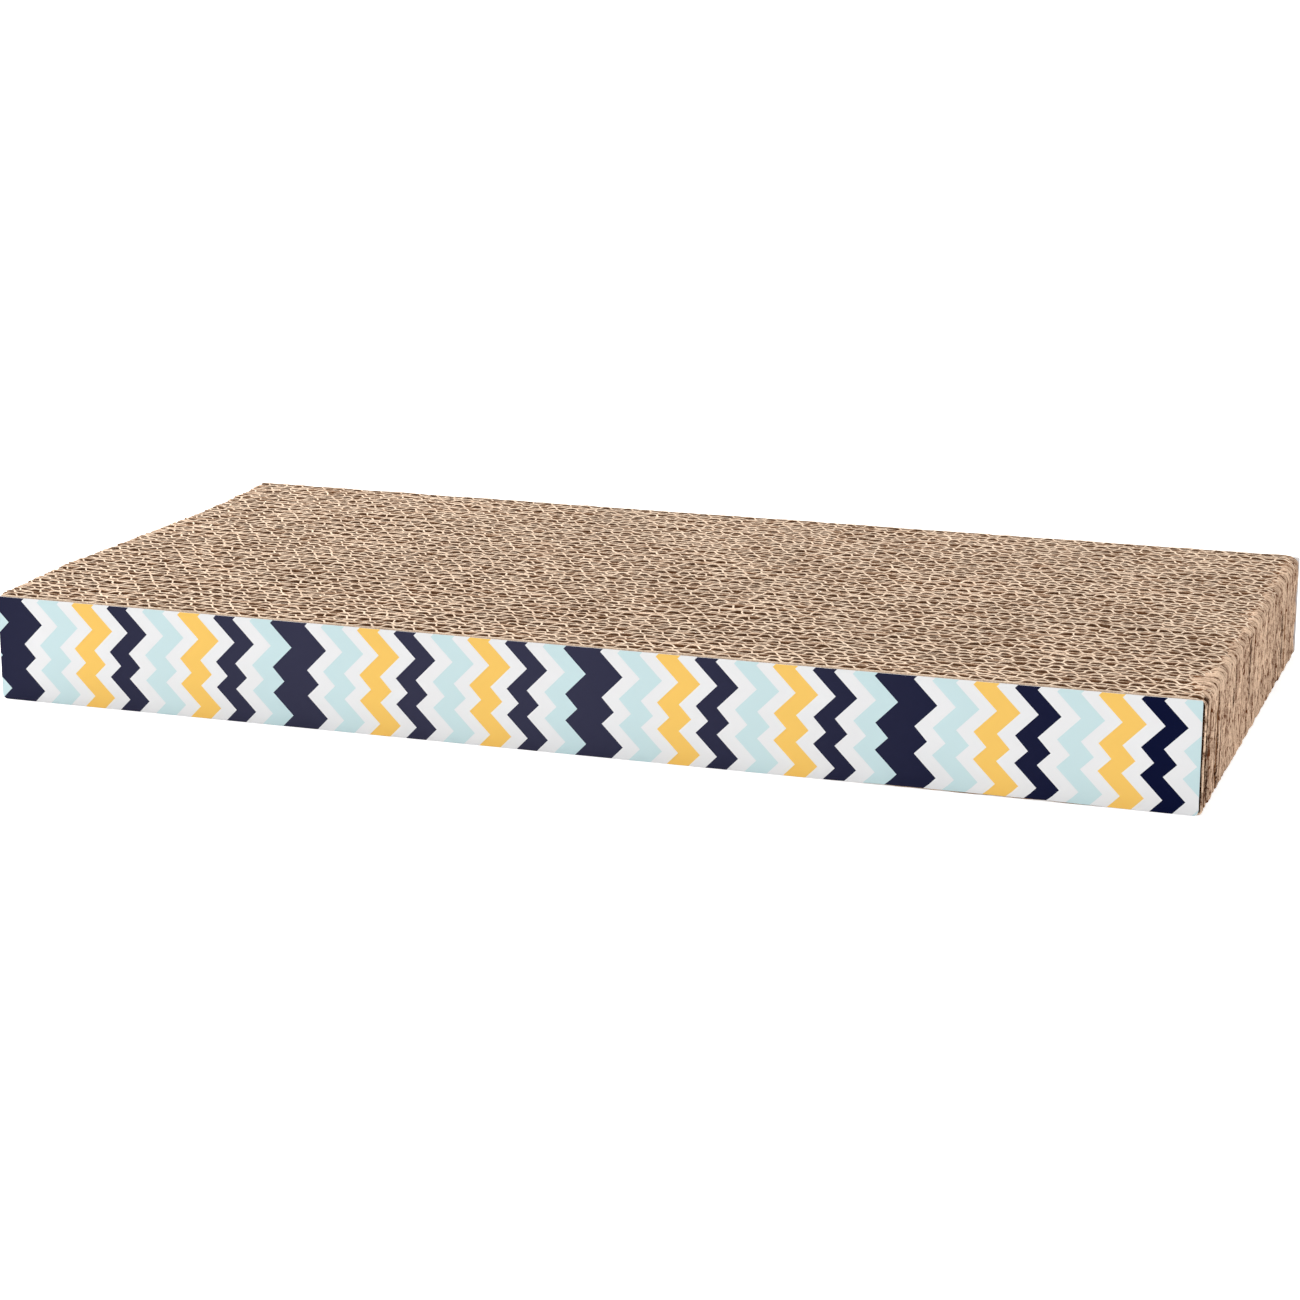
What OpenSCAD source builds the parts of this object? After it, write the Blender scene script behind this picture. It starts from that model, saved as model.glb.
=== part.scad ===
// Cardboard cat scratcher: a flat slab of corrugated boards that stand on edge, glued face to face
// between two printed panels. X runs along the boards, Y from the front panel to the rear one, and
// Z up along the flutes, from the middle of the underside. Top and underside are the same open flutes.

/* [Slab] */
// Length of the longest board
slab_l = 457; // [200:1:700]
// Height of the boards, along their flutes
slab_h = 41; // [15:1:90]
// Number of boards from front to rear
board_count = 30; // [2:1:40]

/* [Paper] */
// Thickness of the flat liner papers
liner_t = 0.4; // [0.2:0.05:0.6]
// Thickness of the fluted papers
medium_t = 0.3; // [0.2:0.05:0.5]
// Thickness of the glue between two papers
glue_t = 0.05; // [0.02:0.01:0.1]

/* [Large flutes] */
// Space between the liners for a row of large flutes
large_h = 3.9; // [2.5:0.1:6]
// Length of one wave of a large flute
large_pitch = 9.1; // [6:0.1:14]

/* [Small flutes] */
// Space between the liners for a row of small flutes
small_h = 2.6; // [2:0.1:5]
// Length of one wave of a small flute
small_pitch = 7.8; // [5:0.1:12]

/* [Board ends] */
// Most that the end of a board stays behind the end of the longest one
end_stagger = 0.7; // [0:0.1:3]
// Radius of the worn corners at the ends of a board
corner_r = 3.5; // [1:0.5:7]

/* [Printed panels] */
// Thickness of a printed panel
panel_t = 0.5; // [0.3:0.1:1.5]
// How far a panel stays below the top of the boards
panel_top_gap = 0.8; // [0:0.1:3]
// How far a panel stays above the underside of the boards
panel_foot_gap = 0.2; // [0:0.1:3]
// How far the front panel stays back from the left end of the longest board
panel_left_gap = 0.3; // [0:0.1:5]
// How far the front panel stays back from the right end of the longest board
panel_right_gap = 1.5; // [0:0.1:5]
// Radius of the corners of a printed panel
panel_corner_r = 1; // [0.5:0.5:5]

/* [Hidden] */
$fn = 48;
kraft = "#c9a277";
kraft_dark = "#b98e62";
print_white = "#f0f0f1";
// Share of a wave by which each board's flutes lie ahead of those of the board before
phase_step_share = 0.382;
// Turn that gives each board its own end, in degrees a board
stagger_turn = 97;
overrun = 1;

// The front board has one row of flutes, and each board behind it has two.
large_row = [large_h, large_pitch];
small_row = [small_h, small_pitch];
function rows(i) = i == 0 ? [large_row] : [small_row, large_row];

// Front face of row n's flutes, from the front face of board i
function row_y(i, n) = n == 0 ? liner_t : row_y(i, n - 1) + rows(i)[n - 1][0] + liner_t;
function board_t(i) = row_y(i, len(rows(i)));
slab_w = 2 * (panel_t + glue_t) + board_t(0) + (board_count - 1) * (glue_t + board_t(1));
front_face_y = -slab_w / 2;
function board_y(i) = i == 0 ? front_face_y + panel_t + glue_t : board_y(i - 1) + board_t(i - 1) + glue_t;

// The front board is the longest at both ends.
function left_end(i) = -slab_l / 2 + end_stagger * (1 - cos(stagger_turn * i)) / 2;
function right_end(i) = slab_l / 2 - end_stagger * (1 - cos(2 * stagger_turn * i)) / 2;
function phase(i, n) = (phase_step_share * (i + n / 2) % 1) * rows(i)[n][1];

function two_digits(i) = str(i < 10 ? "0" : "", i);
function board_name(i) = str("board_", two_digits(i + 1));

// A sheet that stands along X, from x0 to x1 and from z0 to z1, with round corners
module sheet(x0, x1, t, z0, z1, r) {
    translate([x0, t, z0])
        rotate([90, 0, 0])
            linear_extrude(t)
                sheet_outline(x1 - x0, z1 - z0, r);
}

module sheet_outline(l, h, r) {
    difference() {
        square([l, h]);
        for (right = [0, 1], top = [0, 1])
            translate([right * l, top * h])
                mirror([right, 0])
                    mirror([0, top])
                        corner_waste(r);
    }
}

module corner_waste(r) {
    difference() {
        translate([-overrun, -overrun])
            square(r + overrun);
        translate([r, r])
            circle(r);
    }
}

// Zigzag from -1 to 1, with a valley at each whole number of waves
function zigzag(waves) = 4 * abs(waves - floor(waves + 1 / 2)) - 1;

// Places along X where a fluted paper turns, its two cut ends included
function first_turn(x0, pitch, start) = ceil((x0 + medium_t - start) / pitch * 2);
function last_turn(x1, pitch, start) = floor((x1 - medium_t - start) / pitch * 2);
function turns(x0, x1, pitch, start) = concat(
    [x0],
    [for (k = [first_turn(x0, pitch, start) : last_turn(x1, pitch, start)]) start + k * pitch / 2],
    [x1]
);

// A fluted paper that fills the space between two liners, less the glue
module fluted_paper(x0, x1, space, pitch, start) {
    rise = medium_t * norm([1, 2 * space / pitch]);
    swing = (space - rise) / 2 - glue_t;
    xs = turns(x0, x1, pitch, start);
    rear_side = [for (x = xs) [x, swing * zigzag((x - start) / pitch) + rise / 2]];
    front_side = [for (k = [len(xs) - 1 : -1 : 0]) rear_side[k] - [0, rise]];
    translate([0, space / 2])
        linear_extrude(slab_h)
            polygon(concat(rear_side, front_side));
}

module board(i) {
    x0 = left_end(i);
    x1 = right_end(i);
    color(kraft)
        for (n = [0 : len(rows(i))])
            translate([0, board_y(i) + row_y(i, n) - liner_t])
                sheet(x0, x1, liner_t, 0, slab_h, corner_r);
    color(kraft_dark)
        intersection() {
            for (n = [0 : len(rows(i)) - 1])
                translate([0, board_y(i) + row_y(i, n)])
                    fluted_paper(x0, x1, rows(i)[n][0], rows(i)[n][1], phase(i, n));
            translate([0, board_y(i)])
                sheet(x0, x1, board_t(i), 0, slab_h, corner_r);
        }
}

module front_panel() {
    x0 = -slab_l / 2 + panel_left_gap;
    x1 = slab_l / 2 - panel_right_gap;
    color(print_white)
        translate([0, front_face_y])
            sheet(x0, x1, panel_t, panel_foot_gap, slab_h - panel_top_gap, panel_corner_r);
}

// The same panel, turned to the other long side
module rear_panel() {
    rotate([0, 0, 180])
        front_panel();
}

front_panel();
for (i = [0 : board_count - 1])
    board(i);
rear_panel();
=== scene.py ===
import math

import bpy
import numpy as np
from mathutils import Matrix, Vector


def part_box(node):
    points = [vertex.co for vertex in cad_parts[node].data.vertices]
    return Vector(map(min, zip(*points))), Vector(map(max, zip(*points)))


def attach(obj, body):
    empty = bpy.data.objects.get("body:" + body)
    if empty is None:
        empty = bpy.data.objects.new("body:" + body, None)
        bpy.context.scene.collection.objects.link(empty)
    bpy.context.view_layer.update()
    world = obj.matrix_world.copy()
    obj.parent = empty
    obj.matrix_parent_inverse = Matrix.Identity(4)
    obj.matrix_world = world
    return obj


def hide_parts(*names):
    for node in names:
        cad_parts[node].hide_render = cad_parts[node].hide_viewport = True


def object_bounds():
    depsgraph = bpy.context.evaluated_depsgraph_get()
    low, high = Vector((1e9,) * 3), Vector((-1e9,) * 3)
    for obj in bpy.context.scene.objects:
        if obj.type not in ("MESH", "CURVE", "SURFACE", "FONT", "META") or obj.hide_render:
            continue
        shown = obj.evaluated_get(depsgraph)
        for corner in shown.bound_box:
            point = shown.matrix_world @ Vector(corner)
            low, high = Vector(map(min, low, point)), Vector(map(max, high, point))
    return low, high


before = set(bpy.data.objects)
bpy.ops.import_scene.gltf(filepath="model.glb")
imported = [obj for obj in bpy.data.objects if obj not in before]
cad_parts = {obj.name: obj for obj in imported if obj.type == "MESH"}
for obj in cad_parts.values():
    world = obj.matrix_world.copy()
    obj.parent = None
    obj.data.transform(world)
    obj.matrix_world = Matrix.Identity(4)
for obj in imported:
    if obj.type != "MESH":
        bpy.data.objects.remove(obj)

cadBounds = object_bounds()
mm = 0.001
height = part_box("board_01")[1].z / mm
halfLength = cadBounds[1].x / mm
halfDepth = cadBounds[1].y / mm


def hexToLinear(hexText):
    values = [int(hexText[k:k + 2], 16) / 255 for k in (1, 3, 5)]
    return [v / 12.92 if v <= 0.04045 else ((v + 0.055) / 1.055) ** 2.4 for v in values] + [1]


def smoothStep(t):
    t = np.clip(t, 0, 1)
    return t * t * (3 - 2 * t)


noiseShape = {
    "knots": 1200,
    "table": (211, 223),
    "tableStart": 400,           # keeps every place in the table above zero
}


# Smooth random curve from -1 to 1, with a new value every spacing mm
def softNoise(seed, x, spacing):
    count = noiseShape["knots"]
    knots = np.random.default_rng(seed).uniform(-1, 1, count)
    t = np.asarray(x, float) / spacing + count / 2
    k = np.floor(t).astype(int)
    f = smoothStep(t - k)
    return knots[k % count] * (1 - f) + knots[(k + 1) % count] * f


# The same over a surface, with its own spacing each way
def softNoise2(seed, a, b, spacingA, spacingB):
    sizeA, sizeB = noiseShape["table"]
    table = np.random.default_rng(seed).uniform(-1, 1, (sizeA, sizeB))
    ta = np.asarray(a, float) / spacingA + noiseShape["tableStart"]
    tb = np.asarray(b, float) / spacingB + noiseShape["tableStart"]
    ka, kb = np.floor(ta).astype(int), np.floor(tb).astype(int)
    fa, fb = smoothStep(ta - ka), smoothStep(tb - kb)
    here, nextA, nextB = (ka % sizeA, kb % sizeB), (ka + 1) % sizeA, (kb + 1) % sizeB
    near = table[here] * (1 - fa) + table[nextA, here[1]] * fa
    far = table[here[0], nextB] * (1 - fa) + table[nextA, nextB] * fa
    return near * (1 - fb) + far * fb


# Patches of 1 with soft borders on 0: middle value, contrast, and how many mm apart
def patches(seed, x, middle, contrast, spacing):
    return smoothStep(middle + contrast * softNoise(seed, x, spacing))


def selectOnly(*pieces):
    bpy.ops.object.select_all(action="DESELECT")
    for piece in pieces:
        piece.select_set(True)
    bpy.context.view_layer.objects.active = pieces[0]


def newMaterial(name):
    material = bpy.data.materials.new(name)
    material.use_nodes = True
    material.node_tree.nodes.clear()
    return material, material.node_tree


def addNode(tree, kind, settings=None, links=None):
    node = tree.nodes.new(kind)
    for key, value in (settings or {}).items():
        if isinstance(key, int) or key in node.inputs:
            node.inputs[key].default_value = value
        else:
            setattr(node, key, value)
    for key, source in (links or {}).items():
        tree.links.new(source, node.inputs[key])
    return node


def addNoise(tree, place, look):
    sizeMm, detail, roughness = look
    settings = {"Scale": 1 / (sizeMm * mm), "Detail": detail, "Roughness": roughness}
    return addNode(tree, "ShaderNodeTexNoise", settings, {"Vector": place}).outputs["Fac"]


def addRange(tree, value, span, result):
    settings = {"From Min": span[0], "From Max": span[1], "To Min": result[0], "To Max": result[1]}
    return addNode(tree, "ShaderNodeMapRange", settings, {"Value": value}).outputs["Result"]


def addMath(tree, operation, first, second):
    settings = {"operation": operation}
    return addNode(tree, "ShaderNodeMath", settings, {0: first, 1: second}).outputs["Value"]


def addScaled(tree, colour, scale):
    settings = {"operation": "SCALE"}
    return addNode(tree, "ShaderNodeVectorMath", settings, {0: colour, "Scale": scale}).outputs["Vector"]


def addAttribute(tree, name):
    return addNode(tree, "ShaderNodeAttribute", {"attribute_name": name}).outputs["Fac"]


# The shader of a paper
def addPaper(tree, look, colour, fibres):
    strength, distance = look["bump"]
    settings = {"Strength": strength, "Distance": distance * mm}
    bump = addNode(tree, "ShaderNodeBump", settings, {"Height": fibres}).outputs["Normal"]
    settings = {"Roughness": look["roughness"], "IOR": look["ior"], "Specular IOR Level": look["specular"]}
    links = {"Base Color": colour, "Normal": bump}
    shader = addNode(tree, "ShaderNodeBsdfPrincipled", settings, links)
    addNode(tree, "ShaderNodeOutputMaterial", None, {"Surface": shader.outputs["BSDF"]})


noiseSpan = (0.3, 0.7)           # most values of a noise texture lie between these

# Noises are given as size in mm, detail and roughness, and a bump as strength and height in mm.
kraftLook = {
    "edge": "#F3DBC2",           # fuzzy fibres of a cut edge
    "wall": "#90633F",           # the paper a little below the cut, out of the light
    "crushedHigh": "#F7D6B8",    # the skin over a board's end
    "crushedGrooveShade": "#5C3217",     # painted shade deep in its grooves
    "fibre": (0.55, 3, 0.6),
    "fibreSpan": (0.25, 0.75),
    "fibreTone": (0.86, 1.1),
    "fray": (-0.25, 0.16),       # how far the fibres shift the border between edge and wall
    "blotch": (26, 2, 0.5),
    "blotchTone": (0.93, 1.05),
    "crackShade": (1.1, 2, 0.55),
    "crackShadeStretch": (0.3, 1, 0.45),
    "crackShadeSpan": (0.36, 0.46),
    "crackShadeDepth": (-0.6, 0),
    "bump": (0.6, 0.12),
    "ior": 1.45,
    "roughness": 0.9,
    "specular": 0.08,
}


# Kraft linerboard and fluting, sawn across: pale fuzzy edges over brown walls, no shine. The brown below the
# edges is partly the paper's colour and partly painted shade.
def makeKraft(name, mask, lowKey, highKey, paintCrackShade):
    material, tree = newMaterial(name)
    place = addNode(tree, "ShaderNodeTexCoord").outputs["Object"]
    fibre = addNoise(tree, place, kraftLook["fibre"])
    blotch = addNoise(tree, place, kraftLook["blotch"])
    fray = addRange(tree, fibre, noiseSpan, kraftLook["fray"])
    if paintCrackShade:        # painted shade of fine cracks: dark streaks along the boards' ends, where papers were pressed together
        settings = {"operation": "MULTIPLY", 1: kraftLook["crackShadeStretch"]}
        along = addNode(tree, "ShaderNodeVectorMath", settings, {0: place}).outputs["Vector"]
        crackShade = addNoise(tree, along, kraftLook["crackShade"])
        crackShade = addRange(tree, crackShade, kraftLook["crackShadeSpan"], kraftLook["crackShadeDepth"])
        fray = addMath(tree, "ADD", fray, crackShade)
    settings = {"operation": "ADD", "use_clamp": True}
    frayed = addNode(tree, "ShaderNodeMath", settings, {0: addAttribute(tree, mask), 1: fray})
    settings = {"data_type": "RGBA", 6: hexToLinear(kraftLook[lowKey]), 7: hexToLinear(kraftLook[highKey])}
    colour = addNode(tree, "ShaderNodeMix", settings, {0: frayed.outputs["Value"]}).outputs[2]
    blotchTone = addRange(tree, blotch, noiseSpan, kraftLook["blotchTone"])
    fibreTone = addRange(tree, fibre, kraftLook["fibreSpan"], kraftLook["fibreTone"])
    tones = addMath(tree, "MULTIPLY", blotchTone, fibreTone)
    tones = addMath(tree, "MULTIPLY", tones, addAttribute(tree, "tone"))
    addPaper(tree, kraftLook, addScaled(tree, colour, tones), fibre)
    return material


printLook = {
    "navy": "#00072D",
    "paintedSheenNavy": "#333349",       # painted sheen: the same ink lightened as if by the coating's sheen
    "paintedSheenLeft": ((-228, -120), (0.5, 1)),     # along X: places, and how much painted sheen there is
    "paintedSheenRight": ((0, 210), (1, 0)),
    "lightBlue": "#CDE5E8",
    "yellow": "#FBCB69",
    "white": "#EFEFF0",
    "grain": (0.4, 2, 0.5),
    "wash": (30, 1, 0.5),
    "washTone": (0.985, 1.01),
    "bump": (0.15, 0.03),
    "ior": 1.5,
    "roughness": 0.42,
    "specular": 0.05,
}


# How much painted sheen the ink has: most on the left and in the middle, none at the right end
def addPaintedSheen(tree, place):
    x = addNode(tree, "ShaderNodeSeparateXYZ", None, {"Vector": place}).outputs["X"]
    sides = []
    for key in ("paintedSheenLeft", "paintedSheenRight"):
        places, amounts = printLook[key]
        sides.append(addRange(tree, x, [v * mm for v in places], amounts))
    return addMath(tree, "MINIMUM", *sides)


# Offset print on coated paper, glued down: clean colour with a soft sheen
def makePrint(name, colourText, paintedSheenText=None):
    material, tree = newMaterial(name)
    place = addNode(tree, "ShaderNodeTexCoord").outputs["Object"]
    grain = addNoise(tree, place, printLook["grain"])
    wash = addNoise(tree, place, printLook["wash"])
    tone = addRange(tree, wash, noiseSpan, printLook["washTone"])
    colour = addNode(tree, "ShaderNodeRGB").outputs["Color"]
    colour.default_value = hexToLinear(colourText)
    # painted sheen mixed into the navy's colour
    if paintedSheenText:
        settings = {"data_type": "RGBA", 7: hexToLinear(paintedSheenText)}
        colour = addNode(tree, "ShaderNodeMix", settings, {0: addPaintedSheen(tree, place), 6: colour}).outputs[2]
    addPaper(tree, printLook, addScaled(tree, colour, tone), grain)
    return material


cutKraft = makeKraft("cut_kraft_board", "cut", "wall", "edge", False)
crushedKraft = makeKraft("crushed_kraft_ends", "rise", "crushedGrooveShade", "crushedHigh", True)
inks = {
    "navy": makePrint("navy_print", printLook["navy"], printLook["paintedSheenNavy"]),
    "white": makePrint("white_coated_paper", printLook["white"]),
    "lightBlue": makePrint("light_blue_print", printLook["lightBlue"]),
    "yellow": makePrint("yellow_print", printLook["yellow"]),
}
print("materials made")


# Sizes in mm. Patches are given as middle value, contrast and spacing, and noise as size and spacing.
boardShape = {
    "count": 30,
    "liner": 0.4,
    "medium": 0.3,
    "small": (2.6, 7.8),          # space between the liners, and length of a wave
    "large": (3.9, 9.1),
    "phaseStep": 0.382,           # share of a wave by which each board's flutes lie ahead of the last
    "linerColumns": 210,
    "columnsPerWave": 12,
    "crowding": 0.2,              # how much the columns of points crowd on the flanks
    "depths": (0, 0.13, 0.55),    # how far the rows of points lie from each cut edge
    "linerHalf": (0.24, 0.27, 0.2),           # half the thickness of a liner in each row
    "mediumHalf": (0.34, 0.35, 0.16),         # and of a fluted paper
    "swell": (0.3, 2.3),          # how unevenly thick a paper is along its edge
    "cut": (1, 0.68, 0.08),       # how pale each row is: the pale cut edge, then painted shade inside the cells below it
    "outerFaceLit": 0.75,            # how pale the outermost papers stay below their edges, where they are lit and take no painted shade
    "worn": (0.65, 0.2),          # share of its paleness that a liner's edge, or a flute's, loses in places
    "wornPatches": (0.4, 0.9, 3.5),
    "tone": (0.94, 1.04),
    "frayed": 0.06,
    "frayedThick": 0.025,
    "uneven": 0.3,                # how far the edges sink in places
    "unevenSpacing": 5,
    "rounding": 0.42,             # lower for steeper flanks and flatter crests
    "lean": (-0.13, 0.3, 14),     # how far the flutes lean along the board, how much that varies, spacing
    # added to the seed, size in waves and spacing of the unevenness with which waves follow each other
    "warp": ((50, 0.2, 26), (52, 0.06, 7)),
    "endGap": 1.2,                # the papers stop this far behind the crushed end
    "underSkin": 0.4,             # how far they dip below its skin
    "dip": (1, 1.5, 3),           # how far from its inner edge they dip, over how many mm, spacing
}
# The front board's ends are thinner than the others, and its right one is sharper.
frontBoard = {
    "radius": 2.2,
    "reach": 4,
    "wall": 0.6,
    "endGap": 1.7,
}
wanderShape = {
    # height of each sway, its lengths along X and Y, and where it starts
    "sways": ((0.85, 24.1, 61, 0.6), (0.5, 9.7, -27, 2.1), (0.45, 13.3, 15.5, 0), (0.2, 3.9, 12, 4)),
    "heldSquare": 160,            # square of the distance over which the panels hold the boards straight
    "bends": ((100, 0.5, 8), (300, 0.4, 37)),     # first seed, size and spacing of a liner's own bends
    "bendsHeld": 6,
}


# How far the glued boards wander from their straight lines, none at the panels
def wander(x, y):
    held = 1 - np.exp(-(halfDepth - np.abs(y)) ** 2 / wanderShape["heldSquare"])
    sway = 0
    for size, alongX, alongY, start in wanderShape["sways"]:
        sway = sway + size * np.sin(x / alongX + y / alongY + start)
    return held * sway


# The line that a liner follows. Liners glued to each other share its number.
def linerLine(number, x, y):
    held = 1 - np.exp(-(halfDepth - abs(y)) / wanderShape["bendsHeld"])
    bends = sum(size * softNoise(seed + number, x, spacing) for seed, size, spacing in wanderShape["bends"])
    return y + wander(x, y) + held * bends


# A flat grid of faces from 0 to 1 along X and Y
def addGrid(name, columns, rows):
    bpy.ops.object.select_all(action="DESELECT")
    bpy.ops.mesh.primitive_grid_add(x_subdivisions=columns, y_subdivisions=rows, size=1,
                                    location=(0.5, 0.5, 0))
    bpy.ops.object.transform_apply(location=True, rotation=True, scale=True)
    bpy.context.object.name = name
    return bpy.context.object


# A sheet with two sides, to be copied and shaped. Its points know their column, their row and their side.
def sheetTemplate(name, columns, rows):
    sheet = addGrid(name, columns, rows)
    bpy.ops.object.mode_set(mode="EDIT")
    bpy.ops.mesh.select_all(action="SELECT")
    bpy.ops.mesh.extrude_region_move(TRANSFORM_OT_translate={"value": (0, 0, 1)})
    bpy.ops.mesh.select_all(action="SELECT")
    bpy.ops.mesh.normals_make_consistent(inside=False)
    bpy.ops.object.mode_set(mode="OBJECT")
    bpy.ops.object.shade_smooth()
    points = np.zeros(len(sheet.data.vertices) * 3, np.float32)
    sheet.data.vertices.foreach_get("co", points)
    points = points.reshape(-1, 3)
    return {
        "piece": sheet,
        "columns": columns,
        "rows": rows,
        "column": np.rint(points[:, 0] * columns).astype(int),
        "row": np.rint(points[:, 1] * rows).astype(int),
        "near": points[:, 2] > 0.5,
    }


def shapedCopy(template, name, points, values, material):
    piece = template["piece"].copy()
    piece.data = template["piece"].data.copy()
    piece.name = name
    bpy.context.scene.collection.objects.link(piece)
    piece.data.vertices.foreach_set("co", (points * mm).astype(np.float32).ravel())
    for key in ("cut", "rise", "tone"):
        layer = piece.data.attributes.new(key, "FLOAT", "POINT")
        layer.data.foreach_set("value", np.broadcast_to(values.get(key, 0), len(points)).astype(np.float32))
    piece.data.materials.append(material)
    piece.data.update()
    return piece


capShape = {
    "columns": 20,
    "rows": (7, 10, 58, 6, 5),    # on the top, its shoulder, the end face, the foot's shoulder and the foot
    # how far the crushed ends reach over the flutes, on the right (1) and on the left (-1)
    "reach": {1: (3.8, 5.8), -1: (2, 3.4)},
    "wideReach": {2: 8, 3: 11, 4: 9.5, 5: 7},     # by board, on the right
    "topRadius": {1: 3.2, -1: 1.5},
    "footRadius": 1.6,
    "sunk": 0.3,                  # how far the skin stays below the boards' top, and above their foot
    "tipSunk": 0.7,               # and how much more its inner edge
    "tipNoise": (1.6, 1.6),
    "wall": 0.7,
    "pushedFlat": 0.6,            # share of a board's setback that the blade pushed flat
    # how far the left ends stand out, from the front board to the last
    "leftBulge": ((0, 1, 4, 7, 11, 17, 22, 27, 29), (0, 1.5, 2.5, 4, 2.5, 0.8, 0, 1.5, 3)),
    # how deep the grooves of the end face are, from the front board to the last
    "strength": ((0, 8, 13, 20, 29), (1.3, 1, 0.5, 0.8, 1.2)),
    "leftShare": 0.7,             # what the left ends have of it
    "overTop": 0.7,               # share of their depth that the grooves keep over the shoulder
    "faceStart": (1, 4),          # the end face starts this far above the shoulder's foot, over so many mm
    "paleDepth": 0.8,             # painted shade: the skin is pale at the surface, and painted brown this deep
    "palest": 1.08,
    "frontPaler": 0.2,            # what the front board's ends have more
    "tone": (0.94, 1.03),
    # painted shade over the shoulder, which faces the lamps, on the right (1) and the left (-1)
    "shoulderShade": {1: 0.1, -1: 0.25},
}
# Seams between glued boards
seamShape = {
    "depth": (0.1, 1.7),
    "half": 1.1,
    "open": (0.5, 0.9, 8),
}
# Upright grooves between papers pressed together
grooveShape = {
    "count": (1, 4),              # from the first to one less than the second
    "depth": (0.3, 2),
    "half": (0.4, 0.9),
    "shift": 0.3,
    "bends": ((10, 0.35, 7), (20, 0.15, 2)),      # added to the seed, size and spacing
    "open": (0.45, 0.9, 10),
    "dashes": (0.5, 1, 3.5),
}
# Slanted slits where the flutes fold over the shoulder
slitShape = {
    "count": 3,
    "place": (0.05, 0.95),        # share of the board's thickness
    "depth": (0, 1.8),
    "half": (0.35, 0.8),
    "halfLength": 1.3,
    "lean": (-0.8, 0.1),
    "below": 6,                   # none lies further below the top
}
# Dents all over: depth on the shoulder, what the end face adds, and spacing across and up
dents = ((3, 0.12, 0, 1.3, 5), (4, 0.04, 0.16, 0.8, 4))
# Splits: how their middle and their edges waver, how they fade up and down, and how far they and their
# painted shade inside reach past half their width, over how many mm
splitShape = {
    "middle": (0.5, 4),
    "edges": (0.3, 1.1),
    "fade": 4,
    "border": (0.3, 0.6),
    "dark": (0.6, 0.4),
    "paleLost": 0.8,
    "shade": 0.6,
}
# Places that have split open, on the right (1) and the left (-1), by board. Each gives its place across the
# board, half its width, its depth, and its lowest and highest point.
splits = {
    1: {
        0: ((0.55, 1.6, 2.6, 1, 60),),
        1: ((0, 0.7, 1.5, 1, 60), (0.62, 0.8, 1.8, 1, 30)),
        3: ((1, 1.7, 2.6, 0, 36),),
        4: ((0, 1.3, 2.6, 0, 36), (1, 1, 2, 8, 27)),
        5: ((0, 1.2, 2, 7, 28),),
        8: ((0.5, 0.9, 1.6, 20, 34),),
        9: ((0.1, 0.9, 2, 22, 36),),
        13: ((0.4, 1.1, 2, 13, 39),),
        17: ((0.9, 1.1, 2, 7, 20),),
        19: ((0.3, 0.9, 1.8, 20, 40),),
        24: ((0.5, 1, 1.8, 4, 28),),
    },
    -1: {
        0: ((0.64, 1.1, 2.6, -9, 36),),
        5: ((0.5, 1, 2, 5, 30),),
        12: ((0, 1, 2, 12, 34),),
        19: ((0.6, 1, 1.8, 8, 30),),
        25: ((0.9, 1, 2, 3, 25),),
    },
}


# How far the crushed end's skin lies below the boards' top, by the distance from the board's end
def capTop(q, radius):
    inside = np.clip(q, 0, radius)
    return capShape["sunk"] + radius - np.sqrt(np.maximum(radius ** 2 - (radius - inside) ** 2, 0))


# How far a paper's edge sinks: a little in places, and under the skin at the board's ends
def edgeDrop(seed, xs, q, radius, sink):
    drop = boardShape["uneven"] * (0.5 + 0.5 * softNoise(seed, xs, boardShape["unevenSpacing"]))
    return drop + sink * (capTop(q, radius) + boardShape["underSkin"])


# A paper that follows the points xs and ys. The seed gives it edges of its own.
def paper(template, name, seed, xs, ys, board, halfRows, worn, outerFaceLit=0):
    rng = np.random.default_rng(seed)
    depths = np.array(boardShape["depths"])
    tangentX, tangentY = np.gradient(xs), np.gradient(ys)
    size = np.hypot(tangentX, tangentY)
    normalX, normalY = tangentY / size, -tangentX / size        # towards the front
    q = np.minimum(xs - board["x0"], board["x1"] - xs)
    reach = np.where(xs > 0, board["reach"][1], board["reach"][-1])
    radius = np.where(xs > 0, board["radius"][1], board["radius"][-1])
    before, over, spacing = boardShape["dip"]
    sink = smoothStep((reach - before + softNoise(seed + 7, xs, spacing) - q) / over)
    topDrop = edgeDrop(seed, xs, q, radius, sink)
    footDrop = edgeDrop(seed + 1, xs, q, capShape["footRadius"], sink)
    column, row = template["column"], template["row"]
    fromEdge = np.minimum(row, template["rows"] - row)
    lower = row < len(depths)
    fray = np.abs(rng.normal(0, boardShape["frayed"], len(row)) * (fromEdge == 0))
    inward = depths[fromEdge] + fray
    z = np.where(lower, footDrop[column] + inward, height - topDrop[column] - inward)
    swell, spacing = boardShape["swell"]
    half = np.array(halfRows)[fromEdge] * (1 + swell * softNoise(seed + 2, xs, spacing))[column]
    half = half + rng.normal(0, boardShape["frayedThick"], len(row)) * (fromEdge < 2)
    away = np.where(template["near"], half, -half)
    points = np.stack([xs[column] + away * normalX[column], ys[column] + away * normalY[column], z], 1)
    # pale at the cut edge and painted shade of the cells below it; the outermost papers stay pale on their
    # upper half
    pale = 1 - worn * patches(seed + 3, xs, *boardShape["wornPatches"])
    cut = np.maximum(np.array(boardShape["cut"])[fromEdge] * pale[column], outerFaceLit * ~lower)
    tone = rng.uniform(*boardShape["tone"])
    return shapedCopy(template, name, points, {"cut": cut, "tone": tone}, cutKraft)


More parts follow.
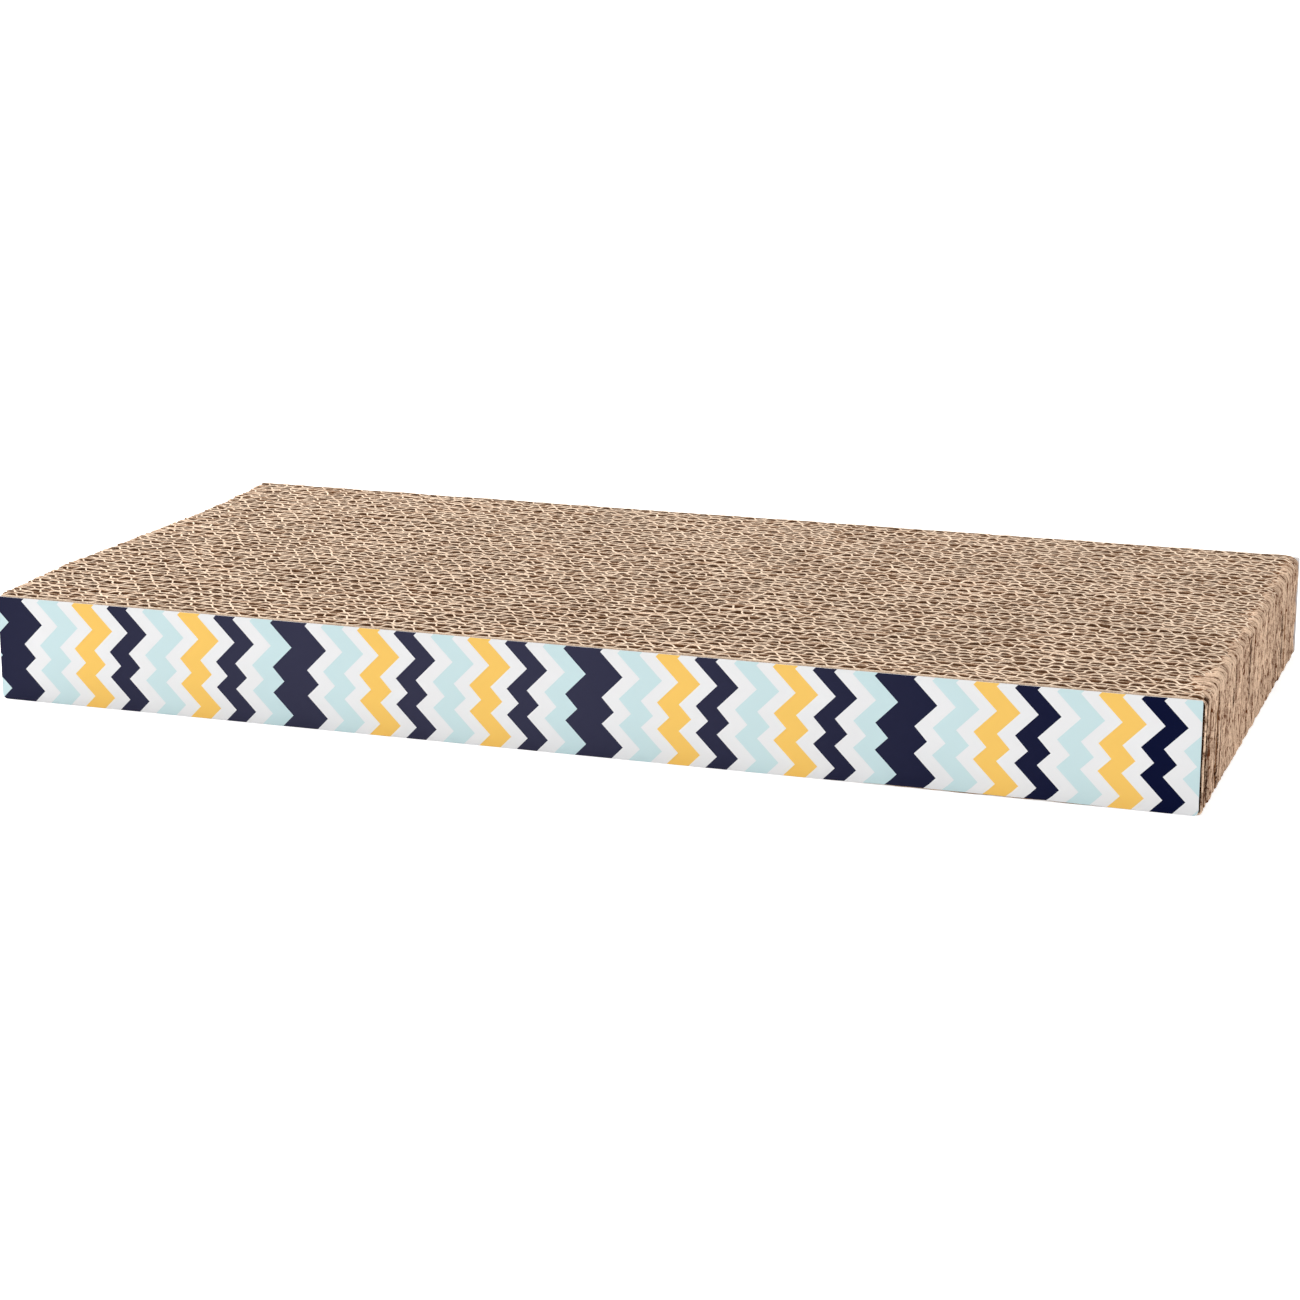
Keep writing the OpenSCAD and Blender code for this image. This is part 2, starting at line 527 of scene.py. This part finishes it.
# The skin of a crushed end, from its inner edge on the top round to its inner edge on the foot. Each point
# gives its distance from the board's end, its height, and which way it faces.
def capPath(reach, radius):
    top, arc, face, footArc, foot = capShape["rows"]
    footRadius, sunk, tipSunk = capShape["footRadius"], capShape["sunk"], capShape["tipSunk"]
    path = []
    for t in np.linspace(0, 1, top, endpoint=False):
        path.append((reach - (reach - radius) * t, height - sunk - tipSunk * (1 - t) ** 2, 0, 1))
    for t in np.linspace(0, math.pi / 2, arc, endpoint=False):
        out, up = math.sin(t), math.cos(t)
        path.append((radius - radius * out, height - sunk - radius + radius * up, -out, up))
    for t in np.linspace(0, 1, face, endpoint=False):
        path.append((0, (height - sunk - radius) * (1 - t) + (footRadius + sunk) * t, -1, 0))
    for t in np.linspace(0, math.pi / 2, footArc, endpoint=False):
        out, down = math.cos(t), math.sin(t)
        path.append((footRadius - footRadius * out, sunk + footRadius - footRadius * down, -out, -down))
    for t in np.linspace(0, 1, foot):
        path.append((footRadius + (reach - footRadius) * t, sunk + tipSunk * t ** 2, 0, -1))
    return np.array(path)


def seamDepth(board, side, across, z):
    depth = 0
    ends = ((board["number"], across), (board["number"] + board["rows"], board["thick"] - across))
    for number, away in ends:       # both boards take the same depth from the seam's number
        opened = patches(700 + 2 * number + side, z, *seamShape["open"])
        deep = np.random.default_rng(9000 + 2 * number + side).uniform(*seamShape["depth"]) * (number > 0)
        depth = depth + deep * opened * smoothStep(seamShape["half"] - away)
    return depth


def grooveDepth(rng, seed, board, across, z):
    depth = 0
    count = rng.integers(*grooveShape["count"]) if board["rows"] == 2 else 0
    for k in range(count):
        shift = rng.uniform(-grooveShape["shift"], grooveShape["shift"])
        line = (k + 1 + shift) / (count + 1) * board["thick"]
        for added, size, spacing in grooveShape["bends"]:
            line = line + size * softNoise(seed + added + k, z, spacing)
        groove = np.exp(-((across - line) / rng.uniform(*grooveShape["half"])) ** 2)
        opened = patches(seed + 30 + k, z, *grooveShape["open"])
        dashes = 0.5 + 0.5 * patches(seed + 40 + k, z, *grooveShape["dashes"])
        depth = depth + groove * opened * dashes * rng.uniform(*grooveShape["depth"])
    return depth


def slitDepth(rng, board, reach, across, q, z):
    depth = 0
    for _ in range(slitShape["count"]):
        place = rng.uniform(*slitShape["place"]) * board["thick"]
        lean = rng.uniform(*slitShape["lean"])
        middle = rng.uniform(0, reach)
        away = across - place - lean * (q - middle)
        slit = np.exp(-(away / rng.uniform(*slitShape["half"])) ** 2)
        slit = slit * np.exp(-((q - middle) / slitShape["halfLength"]) ** 2)
        nearTop = z > height - slitShape["below"]
        depth = depth + slit * nearTop * rng.uniform(*slitShape["depth"]) * (board["rows"] == 2)
    return depth


# How deep the splits are, and where they lie, from 0 to 1
def splitDepth(seed, board, side, across, z):
    depth, split = 0, 0
    sway, swaySpacing = splitShape["middle"]
    rough, roughSpacing = splitShape["edges"]
    fade = splitShape["fade"]
    border, borderOver = splitShape["border"]
    dark, darkOver = splitShape["dark"]
    for place, half, deep, lowest, highest in splits[side].get(board["index"], ()):
        middle = place * board["thick"] + (0 < place < 1) * sway * softNoise(seed + 60, z, swaySpacing)
        away = np.abs(across - middle + rough * softNoise(seed + 61, z, roughSpacing))
        tall = smoothStep((z - lowest) / fade) * smoothStep((highest - z) / fade)
        split = np.maximum(split, tall * smoothStep((half + dark - away) / darkOver))
        depth = depth + deep * tall * smoothStep((half + border - away) / borderOver)
    return depth, split


def endCap(name, seed, board, side):
    rng = np.random.default_rng(seed)
    column, row, near = capTemplate["column"], capTemplate["row"], capTemplate["near"]
    share = column / capShape["columns"]
    across = share * board["thick"]
    radius, reach = board["radius"][side], board["reach"][side]
    order = row if side < 0 else capRows - row
    q, z, normalQ, normalZ = capPath(reach, radius)[order].T
    tip, tipSpacing = capShape["tipNoise"]
    q = q + smoothStep((q - radius) / (reach - radius)) * tip * softNoise(seed, across, tipSpacing)
    end = board["x1"] if side > 0 else board["x0"] + board["bulge"]
    end += capShape["pushedFlat"] * (side * halfLength - end) - board["bulge"] * (side < 0)
    above, over = capShape["faceStart"]
    onFace = smoothStep((height - radius + above - z) / over)
    strength = np.interp(board["index"], *capShape["strength"]) * (1 if side > 0 else capShape["leftShare"])
    strength = strength * (capShape["overTop"] + (1 - capShape["overTop"]) * onFace)
    depth = strength * (seamDepth(board, side, across, z) + grooveDepth(rng, seed, board, across, z))
    for added, everywhere, more, spacingAcross, spacingUp in dents:
        dent = 1 + softNoise2(seed + added, across, z, spacingAcross, spacingUp)
        depth = depth + (everywhere + more * onFace) * dent
    depth = depth + slitDepth(rng, board, reach, across, q, z)
    splitsDepth, split = splitDepth(seed, board, side, across, z)
    depth = np.maximum(depth + splitsDepth, 0)
    # painted shade: the skin turns brown with the depth of its grooves, dents and splits
    rise = np.clip(capShape["palest"] - depth / capShape["paleDepth"], 0, 1)
    rise = (rise + capShape["frontPaler"] * (board["rows"] == 1)) * (1 - splitShape["paleLost"] * split)
    depth = depth + np.where(near, 0, board["wall"])
    x = end - side * q + side * depth * normalQ
    z = z - depth * normalZ
    front = linerLine(board["number"], x, board["y0"])
    rear = linerLine(board["number"] + board["rows"], x, board["y1"])
    points = np.stack([x, front * (1 - share) + rear * share, z], 1)
    # painted shade: darker over the shoulder, which faces the lamps, and dark deep in the splits
    tone = rng.uniform(*capShape["tone"]) * (1 - capShape["shoulderShade"][side] * (1 - onFace))
    tone = tone * (1 - splitShape["shade"] * split)
    return shapedCopy(capTemplate, name, points, {"rise": rise, "tone": tone}, crushedKraft)


# The front board has one row of flutes, and each board behind it has two.
def describeBoard(index, linerNumber):
    low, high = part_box(f"board_{index + 1:02d}")
    low, high = low / mm, high / mm
    bulge = np.interp(index, *capShape["leftBulge"])
    rng = np.random.default_rng(800 + index)
    board = {
        "index": index,
        "number": linerNumber,
        "kinds": ["large"] if index == 0 else ["small", "large"],
        "rows": 1 if index == 0 else 2,
        "x0": low.x - bulge,
        "x1": high.x,
        "y0": low.y,
        "y1": high.y,
        "thick": high.y - low.y,
        "bulge": bulge,
        "wall": capShape["wall"],
        "endGap": boardShape["endGap"],
        "reach": {side: rng.uniform(*capShape["reach"][side]) for side in (-1, 1)},
        "radius": dict(capShape["topRadius"]),
    }
    board["reach"][1] = capShape["wideReach"].get(index, board["reach"][1])
    if index == 0:
        board["radius"][1], board["reach"][1] = frontBoard["radius"], frontBoard["reach"]
        board["wall"], board["endGap"] = frontBoard["wall"], frontBoard["endGap"]
    board["lines"] = [low.y + boardShape["liner"] / 2]
    for kind in board["kinds"]:
        board["lines"].append(board["lines"][-1] + boardShape["liner"] + boardShape[kind][0])
    return board


# The line of liner n. A glued pair keeps its distance, so both follow the line half way between them.
def linerPath(board, n, xs):
    y = board["lines"][n]
    pairY = {0: board["y0"], board["rows"]: board["y1"]}.get(n, y)
    return linerLine(board["number"] + n, xs, pairY) + y - pairY


def columnPlaces(board, template):
    gap = board["endGap"]
    return np.linspace(board["x0"] + gap, board["x1"] - gap, template["columns"] + 1)


def liner(board, n, seed, name):
    xs = columnPlaces(board, linerTemplate)
    # the outermost papers show their kraft face above the panel, lit and pale, without the painted shade of
    # the cells; at the foot they keep it
    outside = board["index"] + n == 0 or (board["index"] == boardShape["count"] - 1 and n == board["rows"])
    return paper(linerTemplate, name, seed, xs, linerPath(board, n, xs), board, boardShape["linerHalf"],
                 boardShape["worn"][0], boardShape["outerFaceLit"] * outside)


def flutes(board, n, seed, name):
    kind = board["kinds"][n]
    pitch = boardShape[kind][1]
    xs = columnPlaces(board, mediumTemplate[kind])
    start = (boardShape["phaseStep"] * (board["index"] + n / 2) % 1) * pitch
    front, rear = linerPath(board, n, xs), linerPath(board, n + 1, xs)
    # more columns of points on the flanks than on the crests
    xs = xs + boardShape["crowding"] * pitch / (2 * math.pi) * np.sin(4 * math.pi * (xs - start) / pitch)
    warps = boardShape["warp"]
    warp = sum(size * softNoise(seed + added + n, xs, spacing) for added, size, spacing in warps)
    turn = np.cos(2 * math.pi * ((xs - start) / pitch + warp))
    rounding = boardShape["rounding"] ** 2
    wave = -turn * np.sqrt((1 + rounding) / (turn ** 2 + rounding))
    swing = (rear - front) / 2 - (boardShape["liner"] + boardShape["medium"]) / 2
    lean, leanVaries, leanSpacing = boardShape["lean"]
    lean = lean + leanVaries * softNoise(seed + 40 + n, xs, leanSpacing)
    ys = (front + rear) / 2 + swing * wave
    return paper(mediumTemplate[kind], name, seed + 60 + 10 * n, xs + lean * swing * wave, ys, board,
                 boardShape["mediumHalf"], boardShape["worn"][1])


paperRows = 2 * len(boardShape["depths"]) - 1
waveCount = {kind: round(2 * halfLength / boardShape[kind][1]) for kind in ("small", "large")}
linerTemplate = sheetTemplate("liner_sheet", boardShape["linerColumns"], paperRows)
mediumTemplate = {}
for kind, count in waveCount.items():
    columns = count * boardShape["columnsPerWave"]
    mediumTemplate[kind] = sheetTemplate(kind + "_flute_sheet", columns, paperRows)
capRows = sum(capShape["rows"]) - 1
capTemplate = sheetTemplate("end_cap_sheet", capShape["columns"], capRows)

linerNumber = 0
for index in range(boardShape["count"]):
    board = describeBoard(index, linerNumber)
    node = f"board_{index + 1:02d}"
    seed = 5000 + 100 * index
    parts = [liner(board, n, seed + 10 * n, f"{node}_liner_{n}") for n in range(board["rows"] + 1)]
    parts += [flutes(board, n, seed, f"{node}_flutes_{n}") for n in range(board["rows"])]
    parts += [endCap(f"{node}_end", seed + 90 + side, board, side) for side in (-1, 1)]
    linerNumber += board["rows"]
    selectOnly(*parts)
    bpy.ops.object.join()
    piece = bpy.context.object
    piece.name = node + "_papers"
    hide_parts(node)
    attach(piece, "root")
for template in (linerTemplate, capTemplate, *mediumTemplate.values()):
    bpy.data.objects.remove(template["piece"])
print("corrugated boards made")


# Sizes in mm on the printed sheet
panelShape = {
    "thick": 0.32,
    "levels": (0, 1.15, 9.8, 17.8, 22.9, 27.5, 35.6, 40),       # where the zigzag turns, from the top edge
    "shifts": (0.6, -0.5, 7.9, 0, 4.6, 0, 7.9, 3.6),        # how far it stands to the right there
    "stripes": (("navy", 14), ("white", 6.5), ("lightBlue", 8.3), ("white", 6.1), ("yellow", 8.2),
                ("white", 6.3), ("navy", 7.9), ("white", 6.7), ("lightBlue", 8.2), ("white", 6),
                ("yellow", 8.2), ("white", 6.3), ("navy", 7.8), ("white", 6.7), ("lightBlue", 7.8)),
    "repeats": (-336, -217.6, -99.8, 15.1, 129.1, 242.9),  # right valley of each wide navy stripe
    "cutsPerStripe": 3,
    "cutsPerLevel": 2,
    "cornerRadius": {1: 0.6, -1: 1.8},     # at the top and at the foot
    "cornerCuts": (15, 35, 55, 75),        # degrees
    "ripple": 0.07,
    "rippleLength": 9.1,
    "footCurl": (0.1, 1.2),       # how far the foot edge curls in, and over which height
    "footLift": (0.4, 150, 45, 2),         # how far the foot edge rises, where, half the length, how high up
}


# Each step of the values cut into the same number of parts
def refined(values, cuts):
    return np.interp(np.arange((len(values) - 1) * cuts + 1) / cuts, np.arange(len(values)), values)


# Borders of the stripes where the zigzag stands furthest left, and the ink of each stripe
def stripeBorders():
    stripes, repeats = panelShape["stripes"], panelShape["repeats"]
    total = sum(width for _, width in stripes)
    borders, kinds = [], []
    for valley, nextValley in zip(repeats[:-1], repeats[1:]):
        at = valley - stripes[0][1] * (nextValley - valley) / total
        for kind, width in stripes:
            borders.append(at)
            kinds.append(kind)
            at += width * (nextValley - valley) / total
    return borders + [at], kinds


# Places and directions of the cuts that trim the ends and round the corners
def trimCuts(low, high):
    cuts = [((low.x, 0, 0), (-1, 0, 0)), ((high.x, 0, 0), (1, 0, 0))]
    for right in (-1, 1):
        for up, radius in panelShape["cornerRadius"].items():
            cornerX = (high.x if right > 0 else low.x) - right * radius
            cornerZ = (high.z if up > 0 else low.z) - up * radius
            for angle in panelShape["cornerCuts"]:
                a = math.radians(angle)
                normal = (right * math.cos(a), 0, up * math.sin(a))
                cuts.append(((cornerX + radius * normal[0], 0, cornerZ + radius * normal[2]), normal))
    return cuts


# How far the panel lies behind its front face. The flutes behind the paper show through as a faint ripple.
def panelInset(x, fromFoot):
    ripple = 0.5 + 0.5 * math.sin(2 * math.pi * x / panelShape["rippleLength"])
    curl, curlHeight = panelShape["footCurl"]
    return panelShape["ripple"] * ripple + curl * math.exp(-fromFoot / curlHeight)


def footLift(x, fromFoot):
    lift, middle, half, top = panelShape["footLift"]
    return lift * math.exp(-((x - middle) / half) ** 4) * max(0, 1 - fromFoot / top)


def faceFront(panel):
    selectOnly(panel)
    if sum(face.normal.y * face.area for face in panel.data.polygons) > 0:
        bpy.ops.object.mode_set(mode="EDIT")
        bpy.ops.mesh.select_all(action="SELECT")
        bpy.ops.mesh.flip_normals()
        bpy.ops.object.mode_set(mode="OBJECT")


# The rear panel is the front one turned round the middle of the slab
def buildPanel(name, node, turned):
    low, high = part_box("front_panel")
    low, high = low / mm, high / mm
    borders, kinds = stripeBorders()
    edges = refined(borders, panelShape["cutsPerStripe"])
    levels = refined(panelShape["levels"], panelShape["cutsPerLevel"])
    shifts = np.interp(levels, panelShape["levels"], panelShape["shifts"])
    columns, rows = len(edges) - 1, len(levels) - 1
    panel = addGrid(name, columns, rows)
    slots = list(inks)
    for ink in inks.values():
        panel.data.materials.append(ink)
    for face in panel.data.polygons:
        stripe = int(face.center.x * columns) // panelShape["cutsPerStripe"]
        face.material_index = slots.index(kinds[stripe])
    scaleZ = (high.z - low.z) / levels[-1]
    for point in panel.data.vertices:
        column, row = round(point.co.x * columns), round((1 - point.co.y) * rows)
        point.co = ((edges[column] + shifts[row]) * mm, low.y * mm, (high.z - levels[row] * scaleZ) * mm)
    bpy.ops.object.mode_set(mode="EDIT")
    for at, normal in trimCuts(low, high):
        bpy.ops.mesh.select_all(action="SELECT")
        bpy.ops.mesh.bisect(plane_co=[v * mm for v in at], plane_no=normal, clear_outer=True)
    bpy.ops.mesh.select_all(action="SELECT")
    bpy.ops.mesh.normals_make_consistent(inside=False)
    bpy.ops.object.mode_set(mode="OBJECT")
    for point in panel.data.vertices:
        x, fromFoot = point.co.x / mm, point.co.z / mm - low.z
        point.co.y = (low.y + panelInset(x, fromFoot)) * mm
        point.co.z += footLift(x, fromFoot) * mm
    faceFront(panel)
    solid = panel.modifiers.new("paper thickness", "SOLIDIFY")
    solid.thickness = panelShape["thick"] * mm
    solid.offset = -1
    bpy.ops.object.modifier_apply(modifier=solid.name)
    bpy.ops.object.shade_smooth_by_angle(angle=math.radians(30))
    for face in panel.data.polygons:        # the cut edges and the glued side are bare
        if face.normal.y > -0.7:
            face.material_index = slots.index("white")
    if turned:
        for point in panel.data.vertices:
            point.co.x, point.co.y = -point.co.x, -point.co.y
    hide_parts(node)
    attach(panel, "root")


buildPanel("front_printed_panel", "front_panel", False)
buildPanel("rear_printed_panel", "rear_panel", True)
print("printed panels made")


studio = {
    "worldLevel": 0.62,
    # name: place, width and height of the lamp, power
    "lamps": {
        "top_softbox": ((-1.05, 0.14, 1.3), (1.2, 1.2), 31),
        "front_softbox": ((1.1, -1.1, 0.4), (0.8, 0.4), 0.9),
        "end_softbox": ((1.5, -0.45, 0.25), (0.8, 0.5), 5.3),
    },
    "floorSize": 40,
    "floorGrey": 0.9,
    "floorLift": 0.6,            # white added where it is seen, and not for the light on the pad
    "lens": 84.0,
    "sensor": 36,
    "cameraAt": (0.3724, -1.0889, 0.3056),
    "azimuth": 19.205,
    "elevation": 14.38,
}
white = (1, 1, 1, 1)


# 1 for rays from the camera, a mirror or clear glass, and 0 for the light on the pad
def addSeen(tree):
    rays = addNode(tree, "ShaderNodeLightPath").outputs
    seen = addMath(tree, "MAXIMUM", rays["Is Camera Ray"], rays["Is Glossy Ray"])
    return addMath(tree, "MAXIMUM", seen, rays["Is Transmission Ray"])


bpy.ops.object.select_all(action="DESELECT")
bpy.ops.mesh.primitive_plane_add(size=studio["floorSize"], location=(0, 0, 0))
floor = bpy.context.object
floor.name = "studio_floor"
floorPaper, tree = newMaterial("matt_white_floor")
lift = addRange(tree, addSeen(tree), (0, 1), (0, studio["floorLift"]))
matt = addNode(tree, "ShaderNodeBsdfDiffuse", {"Color": (studio["floorGrey"],) * 3 + (1,)})
glow = addNode(tree, "ShaderNodeEmission", {"Color": white}, {"Strength": lift})
both = addNode(tree, "ShaderNodeAddShader", None, {0: matt.outputs["BSDF"], 1: glow.outputs["Emission"]})
addNode(tree, "ShaderNodeOutputMaterial", None, {"Surface": both.outputs["Shader"]})
floor.data.materials.append(floorPaper)

world = bpy.data.worlds.new("white_studio")
bpy.context.scene.world = world
world.use_nodes = True
tree = world.node_tree
tree.nodes.clear()
level = addRange(tree, addSeen(tree), (0, 1), (studio["worldLevel"], 1))
sky = addNode(tree, "ShaderNodeBackground", {"Color": white}, {"Strength": level})
addNode(tree, "ShaderNodeOutputWorld", None, {"Surface": sky.outputs["Background"]})

for name, (at, size, power) in studio["lamps"].items():
    bpy.ops.object.light_add(type="AREA", location=at)
    lamp = bpy.context.object
    lamp.name = name
    lamp.data.shape = "RECTANGLE"
    lamp.data.size, lamp.data.size_y = size
    lamp.data.energy = power
    lamp.rotation_euler = (-Vector(at)).to_track_quat("-Z", "Y").to_euler()

turn = (math.radians(90 - studio["elevation"]), 0, math.radians(studio["azimuth"]))
bpy.ops.object.camera_add(location=studio["cameraAt"], rotation=turn)
camera = bpy.context.object
camera.name = "photo_camera"
camera.data.lens = studio["lens"]
camera.data.sensor_width = studio["sensor"]
bpy.context.scene.camera = camera
bpy.context.scene.view_settings.view_transform = "Standard"
print("studio made")
